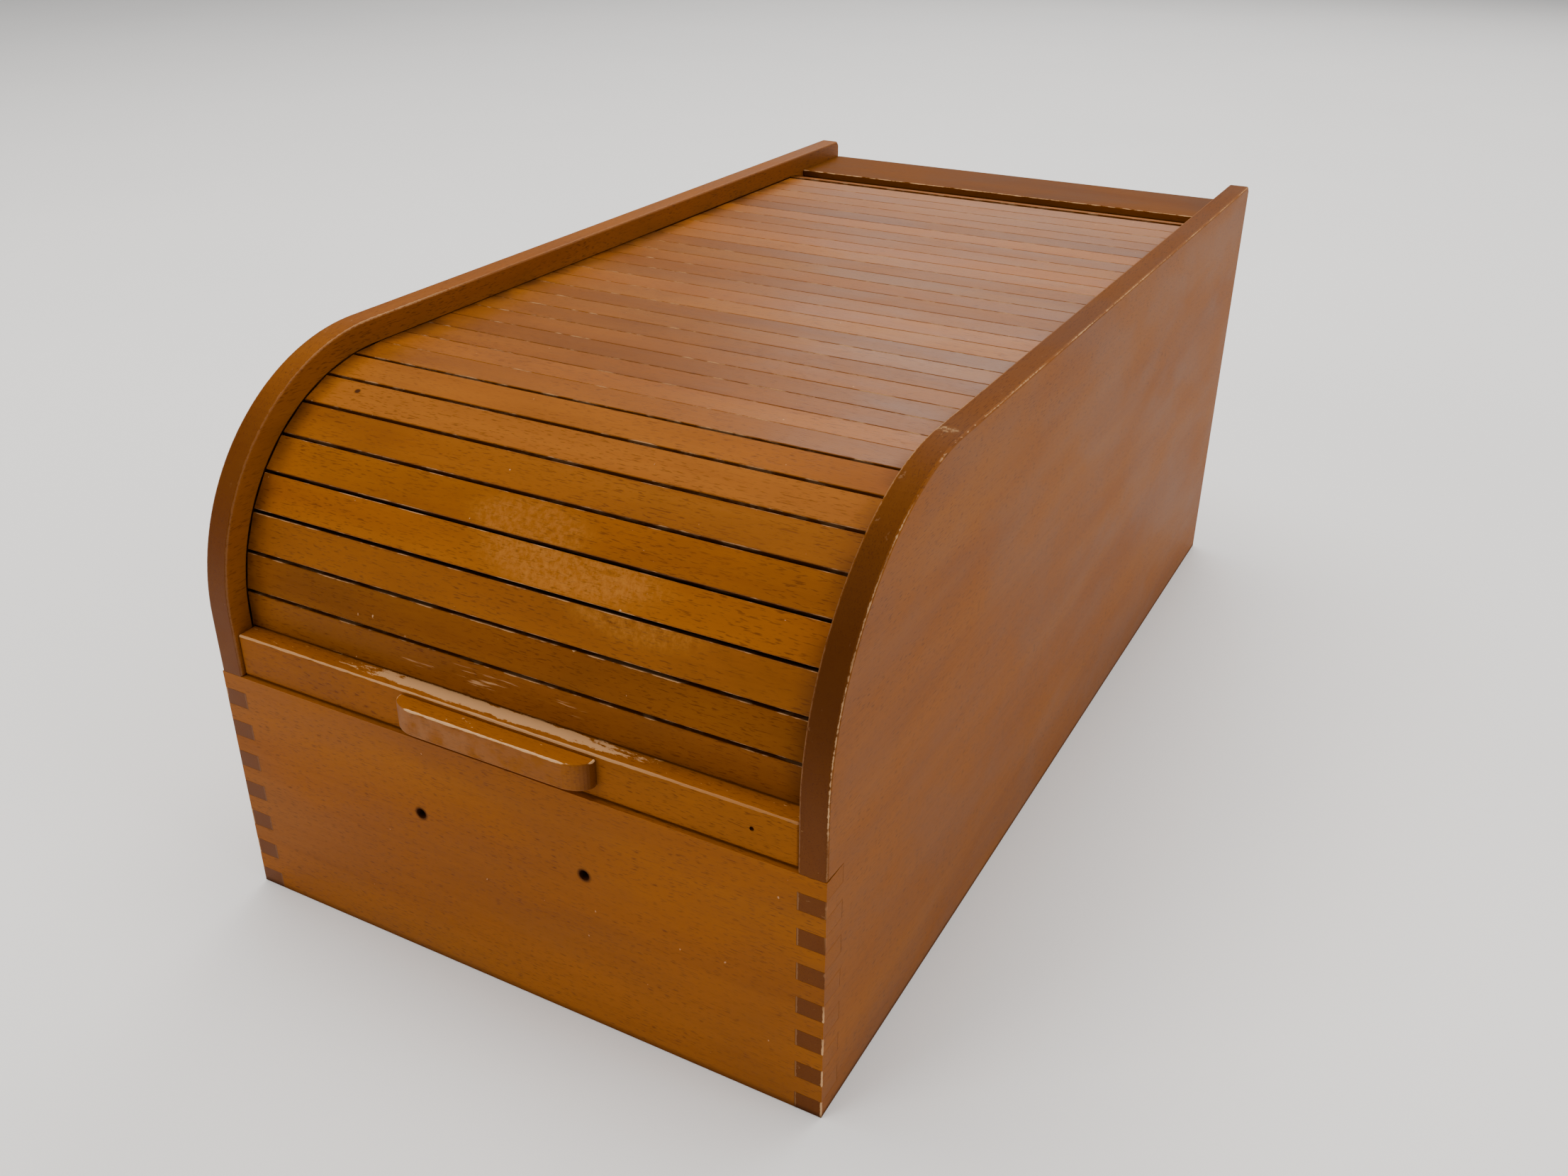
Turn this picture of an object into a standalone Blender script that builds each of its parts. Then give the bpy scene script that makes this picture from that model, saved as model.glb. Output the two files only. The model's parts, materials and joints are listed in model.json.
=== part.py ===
"""Roll-top bread bin: a beech box with a tambour (slatted roll-up) front and top.

Sizes below are in millimetres: x from the middle of the width, y back from the
front face, z up from the foot.  At the end everything moves forward by DATUM_Y,
so the finished frame (metres, +Z up) has its origin under the middle of the bin.
"""
import math

import bmesh
import bpy
from mathutils import Matrix, Vector

MM = 0.001

# Case
WIDTH = 250.0
LENGTH = 484.0
HEIGHT = 209.5
SIDE_T = 10.0
FRONT_T = 11.0
FRONT_H = 98.0
BACK_T = 7.0
BOTTOM_Z = 6.0
BOTTOM_T = 6.0
CASE_ROUND = 88.0
FINGER = 7.0
FINGER_FIT = 0.1
GLUE_GAP = 0.15
HOUSING = 4.0
REBATE = 5.0
EDGE_ROUND = 0.9

# Mounting holes in the front board
HOLE_D = 4.0
HOLE_X = 35.0
HOLE_Z = 65.5

# Tambour: slats glued on canvas, folding on the canvas line
SLATS = 35
ARC_SLATS = 9
FIRST_TAIL = 24
END_GROUP = 27
PITCH = 13.8
SLAT_W = 13.45
SLAT_T = 5.0
SLAT_BEVEL = 0.2
CANVAS_T = 0.6
CANVAS_GAP = 0.1
END_GAP = 0.4
ARC_R = 74.0
ARC_Y = 88.0
ARC_Z = 120.5
FIRST_S = 2.2
REAR_R = 30.0
REAR_Y = 424.0
TRACK_DEPTH = 5.0
TRACK_PLAY = 0.4
TRACK_START_Z = 113.0
TRACK_END_Z = 46.0

# Back top rail
RAIL_Y = 439.0
RAIL_Z = 197.3
RAIL_T = 3.7

# Lead rail and handle
LEAD_Y = 1.5
LEAD_BACK = 13.9
LEAD_Z = 98.8
LEAD_TOP = 115.4
HANDLE_W = 80.0
HANDLE_X = 2.0
HANDLE_Y = -5.8
HANDLE_Z = 103.6
HANDLE_H = 10.4
HANDLE_ROUND_X = 10.0
HANDLE_ROUND_Y = 6.2
SCREW_X = 24.0
SCREW_D = 3.0
SCREW_HEAD_D = 6.0
NAIL_X = 98.5
NAIL_Z = 107.5

IN_X = WIDTH / 2 - SIDE_T
DATUM_Y = (LENGTH + HANDLE_Y) / 2
FLAT_Z = ARC_Z + ARC_R
ARC_LEN = ARC_R * math.pi / 2


def collection(name):
    made = bpy.data.collections.new(name)
    bpy.context.scene.collection.children.link(made)
    return made


def material(name, colour, roughness, metallic=0.0):
    made = bpy.data.materials.new(name)
    made.use_nodes = True
    shader = made.node_tree.nodes["Principled BSDF"]
    shader.inputs["Base Color"].default_value = (*colour, 1.0)
    shader.inputs["Roughness"].default_value = roughness
    shader.inputs["Metallic"].default_value = metallic
    return made


def add_object(name, mesh, where):
    made = bpy.data.objects.new(name, mesh)
    where.objects.link(made)
    return made


def prism_bmesh(outline, low, high, axis):
    """Extrude a closed outline (pairs in mm) along x (axis 0) or z (axis 2)."""
    mesh = bmesh.new()
    rings = []
    for level in (low, high):
        if axis == 0:
            ring = [mesh.verts.new((level, a, b)) for a, b in outline]
        else:
            ring = [mesh.verts.new((a, b, level)) for a, b in outline]
        rings.append(ring)
    count = len(outline)
    mesh.faces.new(rings[0])
    mesh.faces.new(rings[1])
    for i in range(count):
        j = (i + 1) % count
        mesh.faces.new((rings[0][i], rings[0][j], rings[1][j], rings[1][i]))
    bmesh.ops.recalc_face_normals(mesh, faces=mesh.faces)
    return mesh


def finish_mesh(name, mesh, where):
    bmesh.ops.scale(mesh, vec=(MM, MM, MM), verts=mesh.verts)
    bmesh.ops.recalc_face_normals(mesh, faces=mesh.faces)
    data = bpy.data.meshes.new(name)
    mesh.to_mesh(data)
    mesh.free()
    return add_object(name, data, where)


def prism(name, outline, low, high, where, axis=0):
    return finish_mesh(name, prism_bmesh(outline, low, high, axis), where)


def box(name, low, high, where):
    outline = [(low[1], low[2]), (high[1], low[2]), (high[1], high[2]), (low[1], high[2])]
    return prism(name, outline, low[0], high[0], where)


def cylinder(name, radius, start, end, where, end_radius=None, segments=32):
    """Round bar or cone between two points in mm."""
    a, b = Vector(start), Vector(end)
    mesh = bmesh.new()
    bmesh.ops.create_cone(
        mesh,
        cap_ends=True,
        segments=segments,
        radius1=radius,
        radius2=radius if end_radius is None else end_radius,
        depth=(b - a).length,
    )
    turn = (b - a).to_track_quat("Z", "Y").to_matrix().to_4x4()
    bmesh.ops.transform(mesh, matrix=Matrix.Translation((a + b) / 2) @ turn, verts=mesh.verts)
    return finish_mesh(name, mesh, where)


def boolean(target, cutter, operation="DIFFERENCE"):
    step = target.modifiers.new(cutter.name, "BOOLEAN")
    step.operation = operation
    step.solver = "EXACT"
    step.object = cutter


def bevel(target, width, segments=1):
    step = target.modifiers.new("edge", "BEVEL")
    step.width = width * MM
    step.segments = segments
    step.limit_method = "ANGLE"
    step.angle_limit = math.radians(30)


def smooth(target, degrees=30):
    for face in target.data.polygons:
        face.use_smooth = True
    target.data.set_sharp_from_angle(angle=math.radians(degrees))


def set_origin(target, point):
    """Move the object's origin to a point in mm and leave the shape where it is."""
    shift = Vector(point) * MM
    target.data.transform(Matrix.Translation(-shift))
    target.location = shift


def arc_points(cy, cz, radius, start, end, steps):
    points = []
    for i in range(steps + 1):
        angle = math.radians(start + (end - start) * i / steps)
        points.append((cy + radius * math.cos(angle), cz + radius * math.sin(angle)))
    return points


def side_outline():
    """Outline of a side panel with its seven front fingers."""
    points = [(LENGTH, 0.0)]
    count = int(round(FRONT_H / (2 * FINGER)))
    for i in range(count):
        low = 2 * FINGER * i
        bottom = low if i == 0 else low + FINGER_FIT
        top = low + FINGER - FINGER_FIT
        points += [(FRONT_T, bottom)] if i else []
        points += [(0.0, bottom), (0.0, top), (FRONT_T, top)]
    points += [(FRONT_T, FRONT_H + FINGER_FIT), (0.0, FRONT_H + FINGER_FIT)]
    points += arc_points(CASE_ROUND, HEIGHT - CASE_ROUND, CASE_ROUND, 180, 90, 40)
    points += [(LENGTH - 1.5, HEIGHT), (LENGTH, HEIGHT - 1.5)]
    return points


def track_outline():
    """Band that the tambour runs in, from behind the lead rail to the foot of the back."""
    inner = TRACK_PLAY
    outer = SLAT_T + TRACK_PLAY
    rear_z = FLAT_Z - REAR_R
    sides = []
    for offset in (-inner, outer):
        line = [(ARC_Y - ARC_R - offset, TRACK_START_Z)]
        line += arc_points(ARC_Y, ARC_Z, ARC_R + offset, 180, 90, 32)
        line += arc_points(REAR_Y, rear_z, REAR_R + offset, 90, 0, 20)
        line += [(REAR_Y + REAR_R + offset, TRACK_END_Z)]
        sides.append(line)
    return sides[0] + sides[1][::-1]


def round_rim(mesh):
    """Round the long outside edges of a panel, clear of its finger joint."""
    chosen = []
    for edge in mesh.edges:
        a, b = (v.co for v in edge.verts)
        along_outline = abs(a.x - b.x) < 1e-6
        above_joint = min(a.z, b.z) > FRONT_H
        if along_outline and above_joint:
            chosen.append(edge)
    bmesh.ops.bevel(mesh, geom=chosen, offset=EDGE_ROUND, segments=2, profile=0.5, affect="EDGES")


def side_panel(name, sign, parts, cutters):
    mesh = prism_bmesh(side_outline(), sign * IN_X, sign * WIDTH / 2, 0)
    round_rim(mesh)
    panel = finish_mesh(name, mesh, parts)
    inside = sign * (IN_X - 1.0)
    track_x = sign * (IN_X + TRACK_DEPTH)
    track = prism(name + "_track_cut", track_outline(), inside, track_x, cutters)
    housing = box(
        name + "_bottom_cut",
        (inside, FRONT_T, BOTTOM_Z - GLUE_GAP),
        (sign * (IN_X + HOUSING + GLUE_GAP), LENGTH + 1, BOTTOM_Z + BOTTOM_T + GLUE_GAP),
        cutters,
    )
    rebate = box(
        name + "_back_cut",
        (inside, LENGTH - BACK_T - GLUE_GAP, -1.0),
        (sign * (IN_X + REBATE + GLUE_GAP), LENGTH + 1, RAIL_Z - GLUE_GAP),
        cutters,
    )
    for cutter in (track, housing, rebate):
        boolean(panel, cutter)
    smooth(panel)
    return panel


def front_outline():
    """Front board seen from the front: pairs (x, z) with fingers at both ends."""
    half = WIDTH / 2
    neck = IN_X - FINGER_FIT
    right = [(neck, 0.0)]
    for i in range(int(round(FRONT_H / (2 * FINGER)))):
        low = FINGER * (2 * i + 1)
        right += [(neck, low), (half, low), (half, low + FINGER), (neck, low + FINGER)]
    right.pop()
    left = [(-x, z) for x, z in reversed(right)]
    return right + left


def front_board(parts, cutters):
    mesh = prism_bmesh(front_outline(), 0.0, FRONT_T - GLUE_GAP, 2)
    turn = Matrix(((1, 0, 0, 0), (0, 0, 1, 0), (0, 1, 0, 0), (0, 0, 0, 1)))
    bmesh.ops.transform(mesh, matrix=turn, verts=mesh.verts)
    board = finish_mesh("front_board", mesh, parts)
    for side in (-1, 1):
        x = side * HOLE_X
        hole = cylinder(
            "front_hole_cut_%d" % (side + 2),
            HOLE_D / 2,
            (x, -1.0, HOLE_Z),
            (x, FRONT_T + 1.0, HOLE_Z),
            cutters,
        )
        boolean(board, hole)
    return board


def plain_boards(parts):
    back_x = IN_X + REBATE
    back = box(
        "back_panel",
        (-back_x, LENGTH - BACK_T, 0.0),
        (back_x, LENGTH, RAIL_Z - 2 * GLUE_GAP),
        parts,
    )
    bottom_x = IN_X + HOUSING
    bottom = box(
        "bottom_board",
        (-bottom_x, FRONT_T + GLUE_GAP, BOTTOM_Z),
        (bottom_x, LENGTH - BACK_T - GLUE_GAP, BOTTOM_Z + BOTTOM_T),
        parts,
    )
    rail_x = IN_X - GLUE_GAP
    rail = box(
        "back_top_rail",
        (-rail_x, RAIL_Y, RAIL_Z),
        (rail_x, LENGTH, RAIL_Z + RAIL_T),
        parts,
    )
    bevel(rail, 0.5, 2)
    return back, bottom, rail


def slat_frame(index):
    """Centre (y, z) of a slat on the canvas line and its tilt above the y axis."""
    along = FIRST_S + PITCH * (index - 1)
    if along < ARC_LEN:
        turn = along / ARC_R
        centre = (ARC_Y - ARC_R * math.cos(turn), ARC_Z + ARC_R * math.sin(turn))
        return centre, math.pi / 2 - turn
    y = ARC_Y + along - ARC_LEN
    if y <= REAR_Y:
        return (y, FLAT_Z), 0.0
    turn = (y - REAR_Y) / REAR_R
    return (REAR_Y + REAR_R * math.sin(turn), FLAT_Z - REAR_R * (1 - math.cos(turn))), -turn


def fold_point(index):
    """Fold line on the canvas between slat index and slat index + 1; 0 is the lead rail."""
    if index == 0:
        (y, z), tilt = slat_frame(1)
        return y - PITCH / 2 * math.cos(tilt), z - PITCH / 2 * math.sin(tilt)
    (y1, z1), tilt1 = slat_frame(index)
    (y2, z2), tilt2 = slat_frame(index + 1)
    if tilt1 == tilt2:
        return (y1 + y2) / 2, FLAT_Z
    cross = math.cos(tilt1) * math.sin(tilt2) - math.sin(tilt1) * math.cos(tilt2)
    reach = ((y2 - y1) * math.sin(tilt2) - (z2 - z1) * math.cos(tilt2)) / cross
    return y1 + reach * math.cos(tilt1), z1 + reach * math.sin(tilt1)


def along_curtain(name, frame, size, offset, parts):
    """Strip across the bin: size is (half length in x, width, thickness)."""
    (y, z), tilt = frame
    half_x, width, thickness = size
    strip = box(
        name,
        (-half_x, -width / 2, offset),
        (half_x, width / 2, offset + thickness),
        parts,
    )
    place = Matrix.Translation((0, y * MM, z * MM)) @ Matrix.Rotation(tilt, 4, "X")
    strip.data.transform(place)
    return strip


def fold_of(index):
    """Fold line a slat turns about, or None where it only slides."""
    if index <= ARC_SLATS:
        return fold_point(index)
    if index >= FIRST_TAIL:
        return fold_point(min(index, END_GROUP) - 1)
    return None


def slats(parts):
    made = []
    for index in range(1, SLATS + 1):
        sliding = ARC_SLATS < index < FIRST_TAIL
        half_x = IN_X + TRACK_DEPTH - END_GAP if sliding else IN_X - END_GAP
        slat = along_curtain(
            "slat_%02d" % index, slat_frame(index), (half_x, SLAT_W, SLAT_T), 0.0, parts
        )
        bevel(slat, SLAT_BEVEL)
        fold = fold_of(index)
        if fold:
            set_origin(slat, (0, *fold))
        made.append(slat)
    return made


def canvas_piece(name, first, last, parts):
    (y1, z1), tilt = slat_frame(first)
    (y2, z2), _ = slat_frame(last)
    width = PITCH * (last - first) + SLAT_W - 0.1
    frame = (((y1 + y2) / 2, (z1 + z2) / 2), tilt)
    size = (IN_X - 6.0, width, CANVAS_T)
    piece = along_curtain(name, frame, size, -CANVAS_GAP - CANVAS_T, parts)
    fold = fold_of(first)
    if fold:
        set_origin(piece, (0, *fold))
    return piece


def canvas_tail(parts):
    """Backing of the last slats as one strip that bends down behind the flat top."""
    (y, z), _ = slat_frame(END_GROUP)
    line = [(y - SLAT_W / 2, z, 0.0)]
    for index in range(END_GROUP, SLATS):
        tilt = (slat_frame(index)[1] + slat_frame(index + 1)[1]) / 2
        line.append((*fold_point(index), tilt))
    (y, z), tilt = slat_frame(SLATS)
    reach = SLAT_W / 2
    line.append((y + reach * math.cos(tilt), z + reach * math.sin(tilt), tilt))
    outline = []
    for offset in (CANVAS_GAP, CANVAS_GAP + CANVAS_T):
        edge = [(y + offset * math.sin(a), z - offset * math.cos(a)) for y, z, a in line]
        outline += edge if offset == CANVAS_GAP else edge[::-1]
    half_x = IN_X - 6.0
    piece = prism("canvas_tail", outline, -half_x, half_x, parts)
    set_origin(piece, (0, *fold_point(END_GROUP - 1)))
    return piece


def canvas(parts):
    """The canvas backing, divided at each line where the curtain folds."""
    made = [canvas_piece("canvas_%02d" % i, i, i, parts) for i in range(1, ARC_SLATS + 1)]
    made.append(canvas_piece("canvas_top", ARC_SLATS + 1, FIRST_TAIL - 1, parts))
    for i in range(FIRST_TAIL, END_GROUP):
        made.append(canvas_piece("canvas_%02d" % i, i, i, parts))
    made.append(canvas_tail(parts))
    return made


def screw_centres():
    z = HANDLE_Z + HANDLE_H / 2
    return [(HANDLE_X + side * SCREW_X, z) for side in (-1, 1)]


def lead_rail(parts, cutters):
    half_x = IN_X - END_GAP
    rail = box(
        "lead_rail", (-half_x, LEAD_Y, LEAD_Z), (half_x, LEAD_BACK, LEAD_TOP), parts
    )
    bevel(rail, 0.7, 2)
    nail = cylinder(
        "nail_hole_cut",
        0.8,
        (NAIL_X, LEAD_Y - 1.0, NAIL_Z),
        (NAIL_X, LEAD_Y + 3.0, NAIL_Z),
        cutters,
        segments=16,
    )
    boolean(rail, nail)
    for i, (x, z) in enumerate(screw_centres(), 1):
        bore = cylinder(
            "rail_bore_cut_%d" % i,
            SCREW_D / 2 + 0.2,
            (x, LEAD_Y - 1.0, z),
            (x, LEAD_BACK + 1.0, z),
            cutters,
        )
        sink = cylinder(
            "rail_sink_cut_%d" % i,
            SCREW_HEAD_D / 2 + 1.3,
            (x, LEAD_BACK + 1.0, z),
            (x, LEAD_BACK - 2.1, z),
            cutters,
            end_radius=SCREW_D / 2 + 0.2,
        )
        boolean(rail, bore)
        boolean(rail, sink)
    set_origin(rail, (0, *fold_point(0)))
    return rail


def handle(parts, cutters):
    half = HANDLE_W / 2
    back = LEAD_Y - GLUE_GAP
    outline = [(half, back)]
    for i in range(11):
        angle = math.radians(90 * i / 10)
        x = half - HANDLE_ROUND_X * (1 - math.cos(angle))
        y = HANDLE_Y + HANDLE_ROUND_Y * (1 - math.sin(angle))
        outline.append((x, y))
    outline += [(-x, y) for x, y in reversed(outline)]
    outline = [(x + HANDLE_X, y) for x, y in outline]
    bar = prism("handle", outline, HANDLE_Z, HANDLE_Z + HANDLE_H, parts, axis=2)
    bevel(bar, 0.6, 2)
    for i, (x, z) in enumerate(screw_centres(), 1):
        bore = cylinder(
            "handle_bore_cut_%d" % i,
            SCREW_D / 2 + 0.2,
            (x, LEAD_Y - 4.6, z),
            (x, LEAD_Y + 1.0, z),
            cutters,
        )
        boolean(bar, bore)
    smooth(bar)
    set_origin(bar, (0, *fold_point(0)))
    return bar


def handle_screws(parts):
    """Countersunk wood screws driven from behind the lead rail into the handle."""
    made = []
    for i, (x, z) in enumerate(screw_centres(), 1):
        mesh = bmesh.new()
        profile = [
            (0.0, LEAD_BACK - 0.2),
            (SCREW_HEAD_D / 2, LEAD_BACK - 0.2),
            (SCREW_HEAD_D / 2, LEAD_BACK - 0.5),
            (SCREW_D / 2, LEAD_BACK - 2.2),
            (SCREW_D / 2, LEAD_Y - 3.2),
            (0.0, LEAD_Y - 4.3),
        ]
        rings = []
        for radius, y in profile:
            if radius == 0.0:
                rings.append([mesh.verts.new((x, y, z))])
                continue
            ring = []
            for step in range(24):
                angle = 2 * math.pi * step / 24
                ring.append(
                    mesh.verts.new((x + radius * math.cos(angle), y, z + radius * math.sin(angle)))
                )
            rings.append(ring)
        for low, high in zip(rings, rings[1:]):
            for step in range(24):
                nxt = (step + 1) % 24
                corners = [
                    low[step % len(low)],
                    low[nxt % len(low)],
                    high[nxt % len(high)],
                    high[step % len(high)],
                ]
                mesh.faces.new(list(dict.fromkeys(corners)))
        screw = finish_mesh("handle_screw_%d" % i, mesh, parts)
        smooth(screw)
        set_origin(screw, (0, *fold_point(0)))
        made.append(screw)
    return made


def paint(parts):
    """One material per sub-part, with beech tones that differ from board to board."""
    tones = {
        "left_side_panel": (0.29, 0.125, 0.036),
        "right_side_panel": (0.30, 0.14, 0.055),
        "front_board": (0.28, 0.095, 0.018),
        "back_panel": (0.34, 0.17, 0.065),
        "bottom_board": (0.42, 0.25, 0.115),
        "back_top_rail": (0.27, 0.13, 0.055),
        "lead_rail": (0.33, 0.115, 0.018),
        "handle": (0.33, 0.12, 0.022),
    }
    for made in parts.objects:
        name = made.name
        if name.startswith("slat_"):
            step = (int(name[-2:]) * 5) % 7 / 7.0
            colour = (0.32 + 0.07 * step, 0.115 + 0.035 * step, 0.014 + 0.012 * step)
            made.data.materials.append(material(name, colour, 0.38))
        elif name.startswith("canvas_"):
            made.data.materials.append(material(name, (0.56, 0.48, 0.34), 0.95))
        elif name.startswith("handle_screw"):
            made.data.materials.append(material(name, (0.60, 0.58, 0.54), 0.35, 1.0))
        else:
            made.data.materials.append(material(name, tones[name], 0.4))


def move_to_datum(objects):
    shift = Vector((0, -DATUM_Y * MM, 0))
    for made in objects:
        if made.location.length > 0:
            made.location += shift
        else:
            made.data.transform(Matrix.Translation(shift))


def build():
    for old in list(bpy.data.objects):
        bpy.data.objects.remove(old, do_unlink=True)
    parts = collection("bread_bin")
    cutters = collection("bread_bin_cutters")
    side_panel("left_side_panel", -1, parts, cutters)
    side_panel("right_side_panel", 1, parts, cutters)
    front_board(parts, cutters)
    plain_boards(parts)
    lead_rail(parts, cutters)
    handle(parts, cutters)
    handle_screws(parts)
    slats(parts)
    canvas(parts)
    paint(parts)
    move_to_datum(parts.objects)
    move_to_datum(cutters.objects)
    for cutter in cutters.objects:
        cutter.hide_render = True
        cutter.display_type = "WIRE"


build()
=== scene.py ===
"""Roll-top bread bin in honey-stained beech: materials, wear, light and camera."""
import json
import math
import random

import bmesh
import bpy
from mathutils import Matrix, Vector


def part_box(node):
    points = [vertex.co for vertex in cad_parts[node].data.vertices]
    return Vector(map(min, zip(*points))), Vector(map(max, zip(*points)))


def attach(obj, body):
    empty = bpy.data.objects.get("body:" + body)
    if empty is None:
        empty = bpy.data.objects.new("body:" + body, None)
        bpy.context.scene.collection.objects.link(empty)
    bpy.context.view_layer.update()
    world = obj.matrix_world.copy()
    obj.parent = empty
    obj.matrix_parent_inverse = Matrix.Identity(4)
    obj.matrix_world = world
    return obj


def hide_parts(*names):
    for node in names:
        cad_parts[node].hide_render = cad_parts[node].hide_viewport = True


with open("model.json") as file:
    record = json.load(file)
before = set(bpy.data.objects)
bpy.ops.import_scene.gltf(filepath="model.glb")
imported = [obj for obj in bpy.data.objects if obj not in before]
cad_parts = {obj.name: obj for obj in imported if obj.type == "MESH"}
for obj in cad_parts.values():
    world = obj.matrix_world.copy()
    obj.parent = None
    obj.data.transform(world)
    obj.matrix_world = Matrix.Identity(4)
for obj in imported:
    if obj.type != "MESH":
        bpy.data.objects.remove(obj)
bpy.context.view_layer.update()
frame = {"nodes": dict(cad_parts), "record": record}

# Camera, in metres and degrees in the bin's own frame
CAMERA = Vector((0.2696, -0.5374, 0.3743))
AZIMUTH = 28.18
ELEVATION = 28.12
ROLL = 0.40
LENS = 32.75

# Places on the bin, in metres
HALF_WIDTH = 0.125
SIDE_T = 0.010
RIM_R = 0.088
RIM_TOP = 0.2095
RIM_Y = -0.1511
ARC_Z = RIM_TOP - RIM_R
SLAT_END = 0.1146
HOLE_X = 0.035
HOLE_Z = 0.0655
NAIL_X = 0.0985
NAIL_Z = 0.1075
HANDLE_ROUND = 0.006
CURVE_SLATS = 10
SLATS = 35

# Canvas backing, in metres
WEAVE = 0.0011
CLOTH_T = 0.0004
CLOTH_STEP = 0.0034
CLOTH_FRAY = 0.0012
CLOTH_TRIM = 0.0002
CLOTH_PUCKER = 0.00006

# Beech figure: shares of broad tone and fine lines, and how dark its flecks are
TONE_SHARE = 0.34
LINE_SHARE = 0.46
LEAST_TONE = 0.12
FLECK_DEPTH = 0.6

# Roughness of lacquer, what a dry surface adds, and the sheen of most pieces
LACQUER_ROUGH = 0.32
DRY_ROUGH = 0.30
SHEEN = 0.15
BUMP_DEPTH = 0.0003

# Linear colours of the stained and lacquered beech
AMBER = (0.185, 0.0480, 0.0016)
HONEY = (0.285, 0.0920, 0.0075)
TAN = (0.290, 0.1120, 0.0140)
BROWN = (0.070, 0.0170, 0.0015)
# This dark brown serves both real soiling and painted shade: in slat gaps, at slat ends, along
# bottom edges and in the screw holes.
DIRT_AND_SHADE = (0.025, 0.0070, 0.0020)
# This pale colour is bare worn wood, and on the lead rail and handle arrises also a painted
# highlight.
BARE_AND_HIGHLIGHT = (0.620, 0.3600, 0.1700)
# This bright orange is a painted highlight: the warm glow on the curve slats.
PAINTED_GLOW = (0.480, 0.1900, 0.0350)
RUBBED = (0.300, 0.1500, 0.0750)

# Marks on single slats: kind, centre, half sizes, strength
MARKS = {
    1: [("scratch", (-0.0050, -0.2300, 0.1235), (0.048, 0.010, 0.0045), 0.55)],
    # The marks on slats 3 to 5 paint a highlight, the warm glow on the curve, on rougher lacquer.
    3: [("painted_glow", (0.0480, -0.2190, 0.1590), (0.036, 0.014, 0.012), 0.8)],
    4: [("painted_glow", (0.0200, -0.2150, 0.1665), (0.046, 0.014, 0.012), 1.0)],
    5: [("painted_glow", (0.0000, -0.2080, 0.1740), (0.032, 0.014, 0.009), 0.7)],
    7: [("dirt_and_shade", (-0.0962, -0.1813, 0.1935), (0.0016, 0.0013, 0.0020), 0.9)],
}

# Stain of single slats on the curve against the rest
CURVE_SHADES = {1: 0.80, 2: 0.76, 3: 0.94, 6: 0.92, 8: 0.94, 9: 0.88}


class Graph:
    """Short calls for building one shader node tree."""

    def __init__(self, tree):
        self.tree = tree

    def node(self, kind, *values, **settings):
        made = self.tree.nodes.new(kind)
        for key, value in settings.items():
            setattr(made, key, value)
        for socket, value in zip(made.inputs, values):
            self.feed(socket, value)
        return made

    def feed(self, socket, value):
        if isinstance(value, bpy.types.NodeSocket):
            self.tree.links.new(value, socket)
        elif value is not None:
            socket.default_value = value

    def math(self, operation, *values, clamp=False):
        made = self.node("ShaderNodeMath", *values, operation=operation, use_clamp=clamp)
        return made.outputs[0]

    def vector(self, operation, *values, result=0):
        return self.node("ShaderNodeVectorMath", *values, operation=operation).outputs[result]

    def dot(self, a, direction):
        return self.vector("DOT_PRODUCT", a, tuple(direction), result=1)

    def noise(self, place, scale, detail=2.0, rough=0.5, distortion=0.0):
        made = self.node("ShaderNodeTexNoise")
        values = {"Vector": place, "Scale": scale, "Detail": detail, "Roughness": rough,
                  "Distortion": distortion}
        for name, value in values.items():
            self.feed(made.inputs[name], value)
        return made.outputs[0]

    def step(self, value, low, high, start=0.0, end=1.0):
        """A smooth step: start below low, end above high."""
        made = self.node("ShaderNodeMapRange", value, low, high, start, end,
                         interpolation_type="SMOOTHSTEP")
        return made.outputs[0]

    def fade(self, value, low, high, start=1.0, end=0.0):
        """A smooth step down: start below low, end above high."""
        return self.step(value, low, high, start, end)

    def apart(self, value, place):
        """How far a value lies from a place, either way."""
        return self.math("ABSOLUTE", self.math("SUBTRACT", value, place))

    def stretch(self, at, *scale):
        return self.vector("MULTIPLY", at, scale)

    def mix(self, factor, a, b, blend="MIX"):
        made = self.node("ShaderNodeMix", data_type="RGBA", blend_type=blend)
        self.feed(made.inputs[0], factor)
        for socket, value in ((made.inputs[6], a), (made.inputs[7], b)):
            self.feed(socket, (*value, 1.0) if isinstance(value, tuple) else value)
        return made.outputs[2]

    def product(self, *values):
        result = values[0]
        for value in values[1:]:
            result = self.math("MULTIPLY", result, value)
        return result

    def either(self, *values):
        result = values[0]
        for value in values[1:]:
            result = self.math("MAXIMUM", result, value, clamp=True)
        return result

    def length(self, *values):
        squares = [self.math("MULTIPLY", value, value) for value in values]
        total = squares[0]
        for square in squares[1:]:
            total = self.math("ADD", total, square)
        return self.math("SQRT", total)

    def blob(self, value, centre, size):
        """The distance from a centre along one axis, in units of size."""
        return self.math("DIVIDE", self.math("SUBTRACT", value, centre), size)


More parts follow.
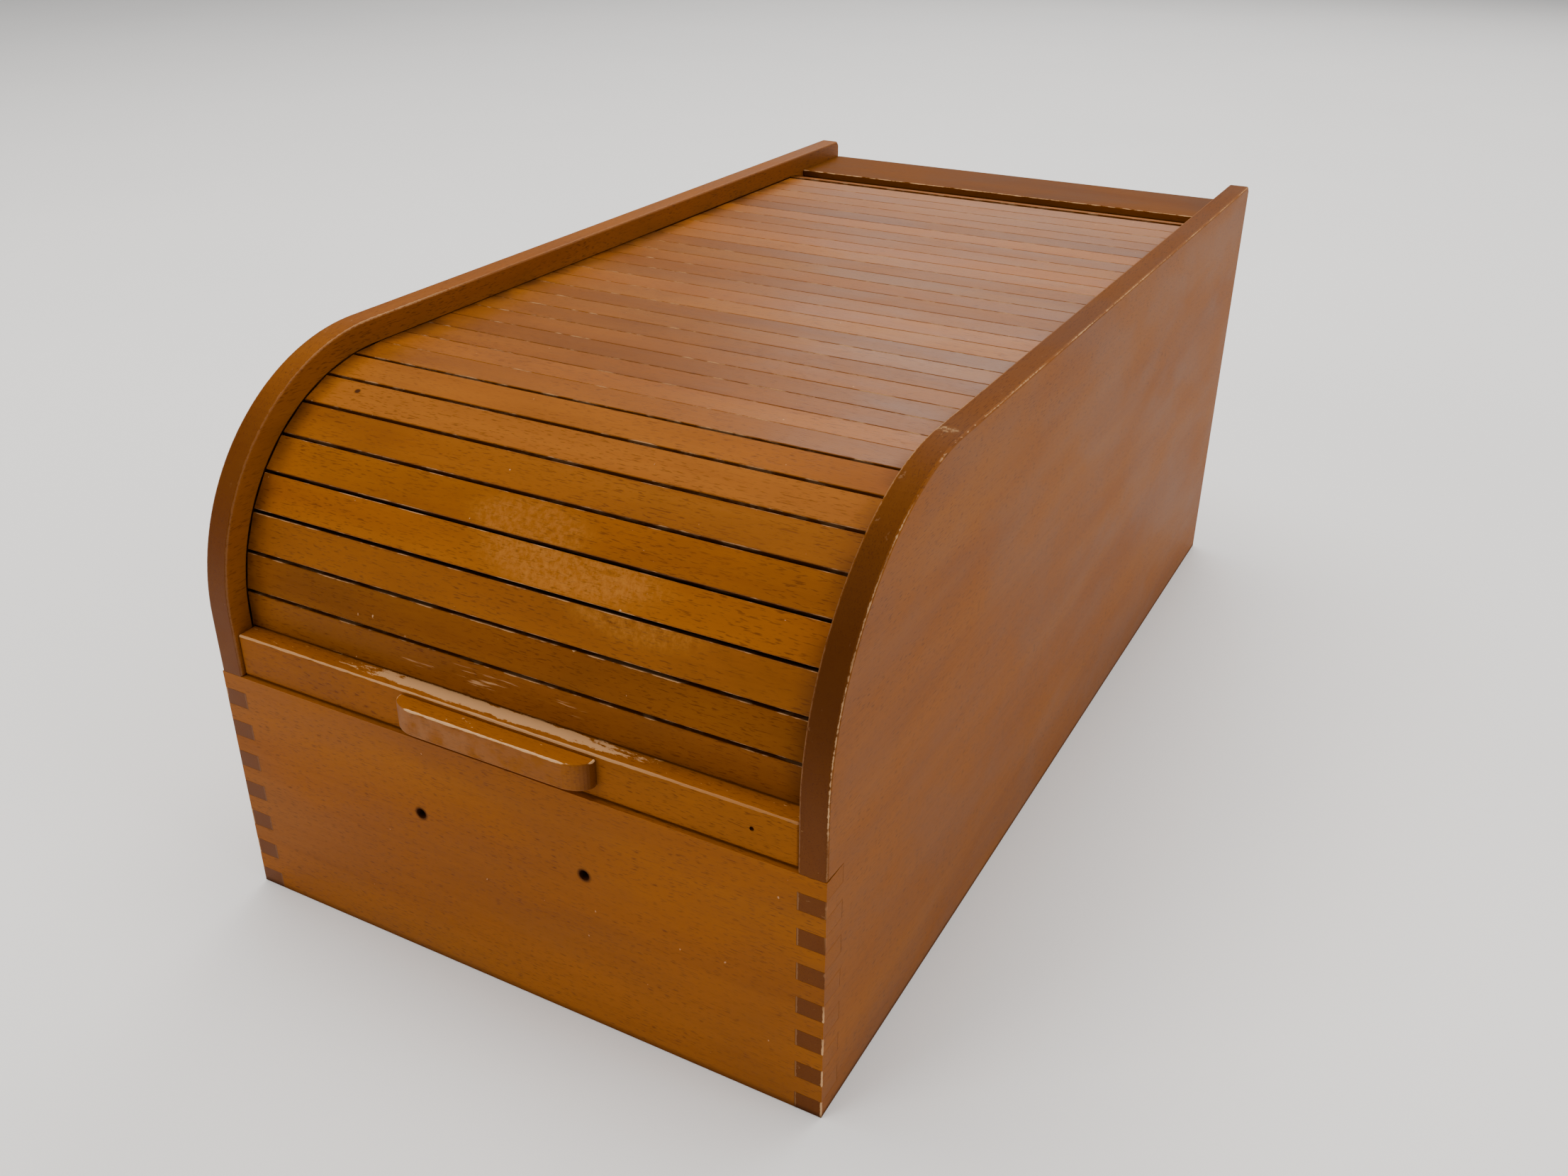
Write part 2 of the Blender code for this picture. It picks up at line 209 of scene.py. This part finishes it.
def beech_group():
    """Beech figure: x runs along the grain.  Gives broad tone, fine lines and ray flecks."""
    tree = bpy.data.node_groups.new("beech_figure", "ShaderNodeTree")
    face = tree.interface
    face.new_socket("Place", in_out="INPUT", socket_type="NodeSocketVector")
    face.new_socket("Seed", in_out="INPUT", socket_type="NodeSocketVector")
    for name in ("Tone", "Lines", "Flecks", "Soft"):
        face.new_socket(name, in_out="OUTPUT", socket_type="NodeSocketFloat")
    g = Graph(tree)
    inside = g.node("NodeGroupInput")
    place = g.vector("ADD", inside.outputs[0], inside.outputs[1])

    def stretched(along, across):
        return g.vector("MULTIPLY", place, (along, across, across))

    tone = g.step(g.noise(stretched(5.0, 34.0), 1.0, 2.0, 0.55, 0.4), 0.28, 0.72)
    soft = g.step(g.noise(stretched(14.0, 30.0), 1.0, 3.0, 0.6, 0.2), 0.3, 0.7)
    lines = g.noise(stretched(9.0, 420.0), 1.0, 3.0, 0.62, 0.15)
    fleck_noise = g.noise(stretched(300.0, 2400.0), 1.0, 1.0, 0.5, 0.0)
    patches = g.step(g.noise(stretched(20.0, 60.0), 1.0, 1.0, 0.5, 0.0), 0.20, 0.60, 0.35, 1.0)
    flecks = g.product(g.step(fleck_noise, 0.56, 0.70), patches)
    g.node("NodeGroupOutput", tone, lines, flecks, soft)
    return tree


def new_material(name):
    """An empty node material and the graph to fill it with."""
    made = bpy.data.materials.new(name)
    made.use_nodes = True
    made.node_tree.nodes.clear()
    return made, Graph(made.node_tree)


def finish_material(g, colour, roughness, height=None, bump=0.0, metallic=0.0, specular=SHEEN):
    """Add the shader, its bump and the output."""
    shader = g.node("ShaderNodeBsdfPrincipled")
    g.feed(shader.inputs["Base Color"], colour)
    g.feed(shader.inputs["Roughness"], roughness)
    shader.inputs["Metallic"].default_value = metallic
    shader.inputs["Specular IOR Level"].default_value = specular
    if height is not None:
        made = g.node("ShaderNodeBump")
        made.inputs["Strength"].default_value = bump
        made.inputs["Distance"].default_value = BUMP_DEPTH
        g.feed(made.inputs["Height"], height)
        g.tree.links.new(made.outputs[0], shader.inputs["Normal"])
    g.node("ShaderNodeOutputMaterial", shader.outputs[0])


BEECH = beech_group()
RANDOM = random.Random(11)


def wood(name, masks=None, grain=0, light=HONEY, dark=AMBER, shade=1.0, dry=0.0, ends=0.7,
         rub_and_glow_colour=RUBBED, specular=SHEEN):
    """Stained beech.

    grain is the axis the grain runs along, and ends says how dark the end grain is.
    masks(g, parts, at, out) gives three masks of one piece, or None: worn bare wood together with
    painted arris highlights, soiling together with painted shade, and worn lacquer together with a
    painted warm glow.
    """
    made, g = new_material(name)
    coordinates = g.node("ShaderNodeTexCoord")
    at, out = coordinates.outputs["Object"], coordinates.outputs["Normal"]
    parts = g.node("ShaderNodeSeparateXYZ", at).outputs
    order = {0: (0, 1, 2), 1: (1, 0, 2), 2: (2, 0, 1)}[grain]
    along = g.node("ShaderNodeCombineXYZ", *(parts[i] for i in order)).outputs[0]
    figure = g.node("ShaderNodeGroup", node_tree=BEECH)
    g.feed(figure.inputs[0], along)
    figure.inputs[1].default_value = [RANDOM.uniform(-9.0, 9.0) for _ in range(3)]
    tone, lines, flecks, soft = figure.outputs
    body = g.math("ADD", g.product(tone, TONE_SHARE), g.product(lines, LINE_SHARE))
    body = g.math("ADD", body, LEAST_TONE)
    colour = g.mix(body, dark, light)
    deeper = g.math("MULTIPLY_ADD", soft, 0.16, 0.88 * shade)
    grey = g.node("ShaderNodeCombineXYZ", deeper, deeper, deeper).outputs[0]
    colour = g.mix(1.0, colour, grey, "MULTIPLY")
    colour = g.mix(g.product(flecks, FLECK_DEPTH), colour, BROWN)
    axis = Vector((0, 0, 0))
    axis[grain] = 1.0
    facing = g.math("ABSOLUTE", g.dot(out, axis))
    end_grain = g.step(facing, 0.08, 0.95)
    colour = g.mix(g.product(end_grain, ends), colour, BROWN)
    rough = g.math("MULTIPLY_ADD", soft, 0.10, LACQUER_ROUGH + DRY_ROUGH * dry)
    wear_and_highlight = dirt_and_shade = rub_and_glow = None
    if masks:
        wear_and_highlight, dirt_and_shade, rub_and_glow = masks(g, parts, at, out)
    if rub_and_glow is not None:
        # On the curve slats this mix paints a highlight, a warm glow; on the handle it is a worn,
        # greyed front.
        colour = g.mix(g.product(rub_and_glow, 0.45), colour, rub_and_glow_colour)
        rough = g.math("MULTIPLY_ADD", rub_and_glow, 0.22, rough)
    if wear_and_highlight is not None:
        # The pale mix is bare worn wood, and along the lead rail and handle arrises also a painted
        # highlight.
        colour = g.mix(wear_and_highlight, colour, BARE_AND_HIGHLIGHT)
        rough = g.math("MULTIPLY_ADD", wear_and_highlight, 0.30, rough)
    if dirt_and_shade is not None:
        # The dark mix is real soiling and painted shade: slat gaps, slat ends, bottom edges and
        # screw holes.
        colour = g.mix(dirt_and_shade, colour, DIRT_AND_SHADE)
        rough = g.math("MULTIPLY_ADD", dirt_and_shade, 0.30, rough)
    height = g.math("SUBTRACT", g.product(lines, 0.5), g.product(flecks, 0.35))
    if wear_and_highlight is not None:
        height = g.math("SUBTRACT", height, g.product(wear_and_highlight, 0.8))
    finish_material(g, colour, rough, height, 0.22, specular=specular)
    return made


def ragged(g, at, distance, reach, scale=420.0, threshold=0.5, stretch=(1.0, 1.0, 1.0)):
    """Chipped, worn band near an edge: solid at the arris, breaking up into flakes at reach. It
    also paints highlights along the lead rail and handle arrises.
    """
    flakes = g.noise(g.vector("MULTIPLY", at, stretch), scale, 4.0, 0.62)
    nearness = g.fade(distance, 0.0, reach)
    level = g.math("ADD", nearness, g.math("SUBTRACT", flakes, 0.5))
    return g.step(level, threshold, threshold + 0.12)


def ding(g, parts, centre, size):
    """A small ellipsoid mark: 1 in the middle, 0 outside."""
    offsets = [g.blob(part, c, s) for part, c, s in zip(parts, centre, size)]
    return g.fade(g.length(*offsets), 0.5, 1.0)


def rim_depth(g, y, z):
    """How far a point lies inside the side panel's top and front outline."""
    flat = g.math("SUBTRACT", RIM_TOP, z)
    radius = g.length(g.math("SUBTRACT", y, RIM_Y), g.math("SUBTRACT", z, ARC_Z))
    curved = g.math("SUBTRACT", RIM_R, radius)
    ahead = g.math("LESS_THAN", y, RIM_Y)
    above = g.math("GREATER_THAN", z, ARC_Z)
    front = g.math("SUBTRACT", y, RIM_Y - RIM_R)
    low = g.math("MINIMUM", flat, front)
    inside = g.product(ahead, above)
    on_curve = g.product(inside, curved)
    return g.math("ADD", on_curve, g.product(g.math("SUBTRACT", 1.0, inside), low))


def side_masks(side):
    """Wear of one side panel: chips along its rim's arrises, most at the top of the curve."""

    def masks(g, parts, at, out):
        x, y, z = parts
        depth = rim_depth(g, y, z)
        outer = g.math("SUBTRACT", HALF_WIDTH, g.math("MULTIPLY", x, side))
        inner = g.math("SUBTRACT", SIDE_T, outer)
        outer_arris = g.length(depth, outer)
        inner_arris = g.length(depth, inner)
        shoulder = g.fade(g.apart(y, RIM_Y + 0.012), 0.0, 0.07, end=0.2)
        if side < 0:
            shoulder = g.product(shoulder, 0.5)
        stretches = g.step(g.noise(at, 26.0, 2.0, 0.6), 0.42, 0.60)
        line = g.product(ragged(g, at, outer_arris, 0.0013, 700.0, 0.62), stretches)
        chips = g.product(ragged(g, at, outer_arris, 0.0030, 330.0, 0.98), shoulder)
        inner_line = g.product(ragged(g, at, inner_arris, 0.0015, 600.0, 0.60), shoulder)
        scuffs = g.step(g.noise(g.stretch(at, 1.0, 0.35, 1.0), 300.0, 3.0, 0.7), 0.66, 0.72)
        on_rim = g.fade(depth, 0.0, 0.0008)
        scuffs = g.product(scuffs, on_rim, shoulder)
        lines = g.product(line, 0.8), chips, g.product(inner_line, 0.8)
        wear_and_highlight = g.either(*lines, g.product(scuffs, 0.6))
        if side > 0:
            patch = ding(g, parts, (0.1185, RIM_Y + 0.002, RIM_TOP), (0.0052, 0.0028, 0.004))
            breakup = g.step(g.noise(at, 900.0, 3.0, 0.7), 0.42, 0.6)
            wear_and_highlight = g.either(wear_and_highlight, g.product(patch, breakup))
        # The lowest few millimetres are painted dark: painted shade where the panel meets the
        # floor.
        foot = g.fade(z, 0.0, 0.0025, 0.75)
        edge_on = g.math("SUBTRACT", 1.0, g.math("ABSOLUTE", g.dot(out, (1, 0, 0))))
        stain = g.product(edge_on, g.step(z, 0.10, 0.17), 0.55 if side > 0 else 0.12)
        return wear_and_highlight, g.either(foot, stain), None

    return masks


def slat_frame(node):
    """One strip's middle, direction along the curtain, half width and furthest x."""
    mesh = frame["nodes"][node].data
    top = max(mesh.polygons, key=lambda face: face.area)
    away = top.normal.copy()
    away.x = 0.0
    away.normalize()
    across = Vector((0.0, -away.z, away.y))
    points = [vertex.co for vertex in mesh.vertices]
    middle = sum(points, Vector()) / len(points)
    spans = [(point - middle).dot(across) for point in points]
    middle = middle + across * (max(spans) + min(spans)) / 2
    ends = [point.x for point in points]
    return middle, across, (max(spans) - min(spans)) / 2, max(ends)


def slat_masks(node, marks):
    """Wear of one slat: painted shade in its gaps and along its edges, painted shadow with soiling
    at its ends, worn arrises, specks and its marks.
    """
    middle, across, half, _ = slat_frame(node)

    def masks(g, parts, at, out):
        x = parts[0]
        local = g.dot(g.vector("SUBTRACT", at, tuple(middle)), across)
        edge = g.math("SUBTRACT", half, g.math("ABSOLUTE", local))
        # The gap walls between slats are painted dark: painted shade in the gaps.
        wall = g.step(g.math("ABSOLUTE", g.dot(out, across)), 0.75, 0.95)
        end_gap = g.math("SUBTRACT", SLAT_END, g.math("ABSOLUTE", x))
        # Near the ends, by the side panels, the darkening is painted shadow together with soiling.
        near_end = g.fade(end_gap, 0.0, 0.012, 0.55)
        end_shade_and_grime = g.product(near_end, g.step(g.noise(at, 60.0, 3.0), 0.3, 0.6))
        # A thin dark band along each long edge: painted shade at the gap.
        seam = g.fade(edge, 0.0, 0.0007, 0.2)
        dirt_and_shade = g.either(g.product(wall, 0.7), end_shade_and_grime, seam)
        wear_and_highlight = g.product(ragged(g, at, edge, 0.0012, 260.0, 0.98, (0.4, 1.0, 1.0)), 0.6)
        specks = g.step(g.noise(at, 330.0, 2.0, 0.5), 0.765, 0.80)
        wear_and_highlight = g.either(wear_and_highlight, g.product(specks, 0.65))
        rub_and_glow = None
        for kind, centre, size, strength in marks:
            spot = ding(g, parts, centre, size)
            if kind == "dirt_and_shade":
                dirt_and_shade = g.either(dirt_and_shade, g.product(spot, strength))
            elif kind == "painted_glow":
                # These patches paint a highlight, the warm glow on the curve.
                speckle = g.step(g.noise(at, 480.0, 5.0, 0.75), 0.30, 0.70)
                painted_glow = g.product(spot, speckle, strength)
                rub_and_glow = painted_glow if rub_and_glow is None else g.either(rub_and_glow, painted_glow)
            else:
                streak = g.noise(g.stretch(at, 0.06, 1.0, 1.0), 900.0, 3.0, 0.6)
                wear_and_highlight = g.either(wear_and_highlight, g.product(spot, g.step(streak, 0.58, 0.68), strength))
        return wear_and_highlight, dirt_and_shade, rub_and_glow

    return masks


def lead_masks(g, parts, at, out):
    """The lead rail: bare along the ledge where hands rest, and along its front arris, where the
    pale line is also a painted highlight; painted shade along its bottom edge.
    """
    x, y, z = parts
    low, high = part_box("lead_rail")
    top = g.step(g.dot(out, (0, 0, 1)), 0.4, 0.8)
    middle = g.fade(g.apart(x, -0.004), 0.020, 0.080, end=0.2)
    band = g.fade(g.apart(y, low[1] + 0.0050), 0.0010, 0.0044)
    streaks = g.noise(g.stretch(at, 0.30, 1.0, 1.0), 520.0, 5.0, 0.75)
    level = g.math("MULTIPLY_ADD", g.math("SUBTRACT", streaks, 0.5), 2.4, g.product(band, middle))
    palm = g.product(top, g.step(level, 0.48, 0.62), 0.62)
    arris = g.length(g.math("SUBTRACT", y, low[1]), g.math("SUBTRACT", high[2], z))
    # The pale arris line is worn wood and also a painted highlight, fading to the right.
    line = ragged(g, at, arris, 0.0014, 300.0, 0.52, (0.25, 1.0, 1.0))
    line = g.product(line, g.fade(x, 0.02, 0.10, 0.62, 0.25))
    # Painted shade along the rail's bottom edge.
    foot = g.fade(g.math("SUBTRACT", z, low[2]), 0.0, 0.0008, 0.55)
    hole = ding(g, parts, (NAIL_X, low[1], NAIL_Z), (0.0010, 0.003, 0.0010))
    return g.either(palm, g.product(line, 0.9)), g.either(foot, hole), None


def handle_masks(g, parts, at, out):
    """The handle: pale arrises round its front edge, worn wood that is also a painted highlight,
    and a worn, greyed front.
    """
    x, y, z = parts
    low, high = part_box("handle")
    centre = (low[0] + high[0]) / 2
    half = (high[0] - low[0]) / 2
    past_straight = g.math("SUBTRACT", g.apart(x, centre), half - HANDLE_ROUND)
    beyond_x = g.math("MAXIMUM", past_straight, 0.0)
    beyond_y = g.math("MAXIMUM", g.math("SUBTRACT", low[1] + HANDLE_ROUND, y), 0.0)
    depth = g.math("SUBTRACT", HANDLE_ROUND, g.length(beyond_x, beyond_y))
    arris = g.length(depth, g.math("SUBTRACT", high[2], z))
    # The pale arris line is worn wood and also a painted highlight.
    line = ragged(g, at, arris, 0.0013, 420.0, 0.56, (0.5, 1.0, 1.0))
    chips = g.step(g.noise(g.stretch(at, 0.4, 1.0, 1.0), 380.0, 4.0, 0.65), 0.66, 0.72)
    chips = g.product(chips, g.step(g.dot(out, (0, 0, 1)), 0.5, 0.9))
    front = g.step(g.dot(out, (0, -1, 0)), 0.3, 0.8)
    left = g.fade(g.math("SUBTRACT", x, centre), -0.03, 0.03, end=0.25)
    rub_and_glow = g.product(front, left, g.step(g.noise(at, 150.0, 3.0, 0.6), 0.25, 0.65))
    return g.either(g.product(line, 0.85), g.product(chips, 0.8)), None, rub_and_glow


def board_masks(g, parts, at, out):
    """The front board: painted shade along its bottom edge and in and round the two screw holes."""
    x, y, z = parts
    # Painted shade along the bottom edge, where the board meets the floor.
    foot = g.fade(z, 0.0, 0.003, 0.6)
    rings = []
    for side in (-1, 1):
        across = g.math("SUBTRACT", x, side * HOLE_X)
        from_hole = g.length(across, g.math("SUBTRACT", z, HOLE_Z))
        # Painted shade in and round each screw hole.
        rings.append(g.fade(from_hole, 0.0019, 0.0034, 0.85))
    flecks = g.step(g.noise(at, 300.0, 2.0, 0.5), 0.775, 0.80)
    return g.product(flecks, 0.5), g.either(foot, *rings), None


def rail_masks(g, parts, at, out):
    """The back top rail: its front arris is worn by the curtain."""
    low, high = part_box("back_top_rail")
    y, z = parts[1], parts[2]
    arris = g.length(g.math("SUBTRACT", y, low[1]), g.math("SUBTRACT", high[2], z))
    wear_and_highlight = ragged(g, at, arris, 0.0014, 380.0, 0.8, (0.4, 1.0, 1.0))
    return g.product(wear_and_highlight, 0.7), None, None


def canvas_material():
    """Plain-woven linen backing, soaked with a little glue."""
    made, g = new_material("canvas_linen")
    at = g.node("ShaderNodeTexCoord").outputs["Object"]
    x, y, z = g.node("ShaderNodeSeparateXYZ", at).outputs
    run = g.math("ADD", y, z)
    warp = g.math("SINE", g.math("MULTIPLY", x, 2 * math.pi / WEAVE))
    weft = g.math("SINE", g.math("MULTIPLY", run, 2 * math.pi / WEAVE))
    weave = g.product(warp, weft)
    slub = g.noise(g.stretch(at, 1.0, 0.15, 0.15), 700.0, 3.0, 0.6)
    level = g.math("ADD", g.product(g.step(weave, -1.0, 1.0), 0.5), g.product(slub, 0.5))
    colour = g.mix(level, (0.16, 0.12, 0.075), (0.48, 0.40, 0.29))
    glue = g.step(g.noise(at, 45.0, 3.0, 0.6), 0.5, 0.75)
    colour = g.mix(g.product(glue, 0.5), colour, (0.20, 0.11, 0.045))
    finish_material(g, colour, g.math("MULTIPLY_ADD", glue, -0.25, 0.92), level, 0.6)
    return made


def steel_material():
    """Zinc-plated screw steel, dulled and spotted."""
    made, g = new_material("screw_steel")
    at = g.node("ShaderNodeTexCoord").outputs["Object"]
    spots = g.step(g.noise(at, 900.0, 4.0, 0.7), 0.45, 0.7)
    turned = g.noise(g.stretch(at, 1.0, 0.05, 1.0), 2500.0, 2.0)
    colour = g.mix(spots, (0.42, 0.41, 0.39), (0.16, 0.12, 0.08))
    rough = g.math("MULTIPLY_ADD", spots, 0.35, 0.28)
    finish_material(g, colour, rough, turned, 0.15, metallic=0.9)
    return made


def put(node, made):
    """Give a carried-over CAD piece its material."""
    piece = frame["nodes"][node]
    piece.data.materials.clear()
    piece.data.materials.append(made)


def slat_specular(number):
    """The lowest slats are worn matt by hands and the rearmost have a little less sheen."""
    if number < 3:
        return 0.04
    return SHEEN if number < 20 else 0.11


def dress_slats():
    """Each slat has its own stain, more alike on the curve than on the flat top."""
    for number in range(1, SLATS + 1):
        node = f"slat_{number:02d}"
        on_curve = number <= CURVE_SLATS
        lift = RANDOM.uniform(0.0, 0.35 if on_curve else 1.0)
        shade = RANDOM.uniform(0.94, 1.06) if on_curve else RANDOM.uniform(0.72, 1.16)
        shade *= CURVE_SHADES.get(number, 1.0)
        light = tuple(a + (b - a) * 0.5 * lift for a, b in zip(HONEY, TAN))
        masks = slat_masks(node, MARKS.get(number, []))
        # On the marked curve slats the worn-lacquer colour is a painted highlight, the warm glow.
        put(node, wood(node, masks, 0, light, AMBER, shade, rub_and_glow_colour=PAINTED_GLOW,
                       specular=slat_specular(number)))


def dress_case():
    """The boards: grain axis, stain, shade, dryness and sheen of each."""
    boards = {
        "right_side_panel": dict(masks=side_masks(1), grain=1, shade=0.98, dry=0.55, specular=0.09),
        "left_side_panel": dict(masks=side_masks(-1), grain=1, shade=0.98, dry=0.55),
        "front_board": dict(masks=board_masks, shade=1.06, dry=0.5, ends=0.12, specular=0.08),
        "back_panel": dict(light=TAN, dark=HONEY, shade=0.8, dry=0.5),
        "bottom_board": dict(grain=1, light=TAN, dark=HONEY, shade=0.75, dry=0.6),
        # The back top rail's stain is darkened to 0.45, far below the other boards: painted shade
        # on the rail.
        "back_top_rail": dict(masks=rail_masks, shade=0.45, dry=0.6, specular=0.03),
        "lead_rail": dict(masks=lead_masks, shade=0.96, specular=0.04),
        "handle": dict(masks=handle_masks, shade=0.92, specular=0.05),
    }
    for node, look in boards.items():
        put(node, wood(node, **look))


def midline(node):
    """The canvas strip's middle line as (y, z) points in order along the curtain."""
    _, across, _, end = slat_frame(node)
    ends = [v.co for v in frame["nodes"][node].data.vertices if v.co.x > end - 1e-5]
    corners = {(round(co.y, 6), round(co.z, 6)) for co in ends}
    points = sorted((Vector((0.0, y, z)) for y, z in corners), key=lambda point: point.dot(across))
    line = [(a + b) / 2 for a, b in zip(points[::2], points[1::2])]
    line[0] += (line[1] - line[0]).normalized() * CLOTH_TRIM
    line[-1] += (line[-2] - line[-1]).normalized() * CLOTH_TRIM
    return [(point.y, point.z) for point in line], end


def along_line(line, step):
    """Points every step or so along a line of (y, z) points."""
    made = [line[0]]
    for (y1, z1), (y2, z2) in zip(line, line[1:]):
        count = max(1, round(math.hypot(y2 - y1, z2 - z1) / step))
        for i in range(1, count + 1):
            made.append((y1 + (y2 - y1) * i / count, z1 + (z2 - z1) * i / count))
    return made


def cloth_skins(mesh, rows, end, columns):
    """Grids of vertices for the cloth's two faces, frayed at the ends and a little puckered."""
    skins = []
    frays = [RANDOM.uniform(0.0, CLOTH_FRAY) for _ in range(2 * len(rows))]
    puckers = [RANDOM.uniform(-1.0, 1.0) * CLOTH_PUCKER for _ in range(len(rows) * (columns + 1))]
    for side in (1, -1):
        grid = []
        for i, (y, z) in enumerate(rows):
            before, after = rows[max(i - 1, 0)], rows[min(i + 1, len(rows) - 1)]
            run = Vector((0.0, after[0] - before[0], after[1] - before[1])).normalized()
            away = Vector((0.0, -run.z, run.y))
            left, right = -end + frays[2 * i], end - frays[2 * i + 1]
            row = []
            for j in range(columns + 1):
                lift = side * CLOTH_T / 2 + puckers[i * (columns + 1) + j]
                place = Vector((left + (right - left) * j / columns, y, z)) + away * lift
                row.append(mesh.verts.new(place))
            grid.append(row)
        skins.append(grid)
    return skins


def close_skins(mesh, skins, columns):
    """Faces over both skins and round their four edges."""
    for grid in skins:
        for low, high in zip(grid, grid[1:]):
            for j in range(columns):
                mesh.faces.new((low[j], low[j + 1], high[j + 1], high[j]))
    rims = [[grid[0] for grid in skins], [grid[-1] for grid in skins]]
    rims += [[[row[side] for row in grid] for grid in skins] for side in (0, -1)]
    for top, bottom in rims:
        for k in range(len(top) - 1):
            mesh.faces.new((top[k], top[k + 1], bottom[k + 1], bottom[k]))
    bmesh.ops.recalc_face_normals(mesh, faces=mesh.faces)


def canvas_cloth(node, body, cloth):
    """One strip of the canvas backing, thin cloth in the place of its CAD solid."""
    line, end = midline(node)
    columns = round(2 * end / CLOTH_STEP)
    mesh = bmesh.new()
    skins = cloth_skins(mesh, along_line(line, CLOTH_STEP), end, columns)
    close_skins(mesh, skins, columns)
    data = bpy.data.meshes.new(node + "_cloth")
    mesh.to_mesh(data)
    mesh.free()
    data.shade_smooth()
    data.materials.append(cloth)
    piece = bpy.data.objects.new(node + "_cloth", data)
    bpy.context.scene.collection.objects.link(piece)
    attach(piece, body)
    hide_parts(node)


def dress_hardware():
    """Canvas backing and screws."""
    cloth, steel = canvas_material(), steel_material()
    for body, nodes in frame["record"]["behaviour"]["bodies"].items():
        for node in nodes:
            if node.startswith("canvas"):
                canvas_cloth(node, body, cloth)
            elif node.startswith("handle_screw"):
                put(node, steel)


def floor():
    """A plain pale floor, far larger than the view."""
    mesh = bpy.data.meshes.new("floor")
    reach, drop = 6.0, 0.0002
    corners = [(-reach, -reach), (reach, -reach), (reach, reach), (-reach, reach)]
    mesh.from_pydata([(x, y, -drop) for x, y in corners], [], [(0, 1, 2, 3)])
    made = bpy.data.objects.new("floor", mesh)
    bpy.context.scene.collection.objects.link(made)
    paint, g = new_material("floor_paint")
    at = g.node("ShaderNodeTexCoord").outputs["Object"]
    cloud = g.noise(at, 3.0, 2.0)
    colour = g.mix(cloud, (0.87, 0.865, 0.86), (0.92, 0.91, 0.90))
    finish_material(g, colour, 0.55)
    mesh.materials.append(paint)


def area_light(name, place, target, size, power, colour, mirrored=True):
    """A soft rectangular light.  mirrored says whether it shows in glossy surfaces."""
    data = bpy.data.lights.new(name, "AREA")
    data.shape = "RECTANGLE"
    data.size, data.size_y = size
    data.energy = power
    data.color = colour
    made = bpy.data.objects.new(name, data)
    made.location = place
    aim = Vector(target) - Vector(place)
    made.rotation_euler = aim.to_track_quat("-Z", "Y").to_euler()
    made.visible_camera = False
    made.visible_glossy = mirrored
    bpy.context.scene.collection.objects.link(made)


def sky():
    """Surroundings: pale and bright behind the bin and to its right, dim behind the camera."""
    world = bpy.data.worlds.new("studio")
    world.use_nodes = True
    g = Graph(world.node_tree)
    world.node_tree.nodes.clear()
    toward = g.node("ShaderNodeTexCoord").outputs["Generated"]
    bright = g.step(g.dot(toward, (0.25, 0.97, 0.0)), -0.5, 0.9, 0.22, 0.36)
    seen = g.node("ShaderNodeLightPath").outputs["Is Camera Ray"]
    strength = g.math("ADD", g.product(g.math("SUBTRACT", 1.0, seen), bright), g.product(seen, 1.3))
    background = g.node("ShaderNodeBackground", (0.97, 0.98, 1.0, 1.0), strength)
    g.node("ShaderNodeOutputWorld", background.outputs[0])
    bpy.context.scene.world = world


def lights():
    """Surroundings and four soft lights, all aimed at the middle of the bin."""
    sky()
    middle = (0, 0, 0.1)
    area_light("back_wall", (0.2, 3.0, 1.9), middle, (4.0, 1.4), 60.0, (1.0, 0.98, 0.95))
    area_light("right_window", (2.4, -0.1, 1.5), middle, (1.4, 1.2), 20.0, (1.0, 0.97, 0.93))
    area_light("front_fill", (-1.3, -2.2, 1.3), middle, (1.3, 1.0), 30.0, (1.0, 0.96, 0.90), False)
    area_light("ceiling", (-0.4, 0.2, 2.6), middle, (2.6, 2.6), 95.0, (1.0, 0.97, 0.93), False)


def camera():
    """The camera, from its place and its azimuth, elevation and roll."""
    azimuth, elevation, roll = (math.radians(a) for a in (AZIMUTH, ELEVATION, ROLL))
    level = math.cos(elevation)
    forward = Vector((-math.sin(azimuth) * level, math.cos(azimuth) * level, -math.sin(elevation)))
    right = forward.cross(Vector((0, 0, 1))).normalized()
    up = right.cross(forward)
    right, up = (right * math.cos(roll) + up * math.sin(roll),
                 up * math.cos(roll) - right * math.sin(roll))
    turn = Matrix((right, up, -forward)).transposed().to_4x4()
    data = bpy.data.cameras.new("camera")
    data.sensor_width = 36.0
    data.lens = LENS
    data.clip_start, data.clip_end = 0.01, 50.0
    made = bpy.data.objects.new("camera", data)
    made.matrix_world = Matrix.Translation(CAMERA) @ turn
    bpy.context.scene.collection.objects.link(made)
    bpy.context.scene.camera = made


dress_slats()
dress_case()
dress_hardware()
floor()
lights()
camera()
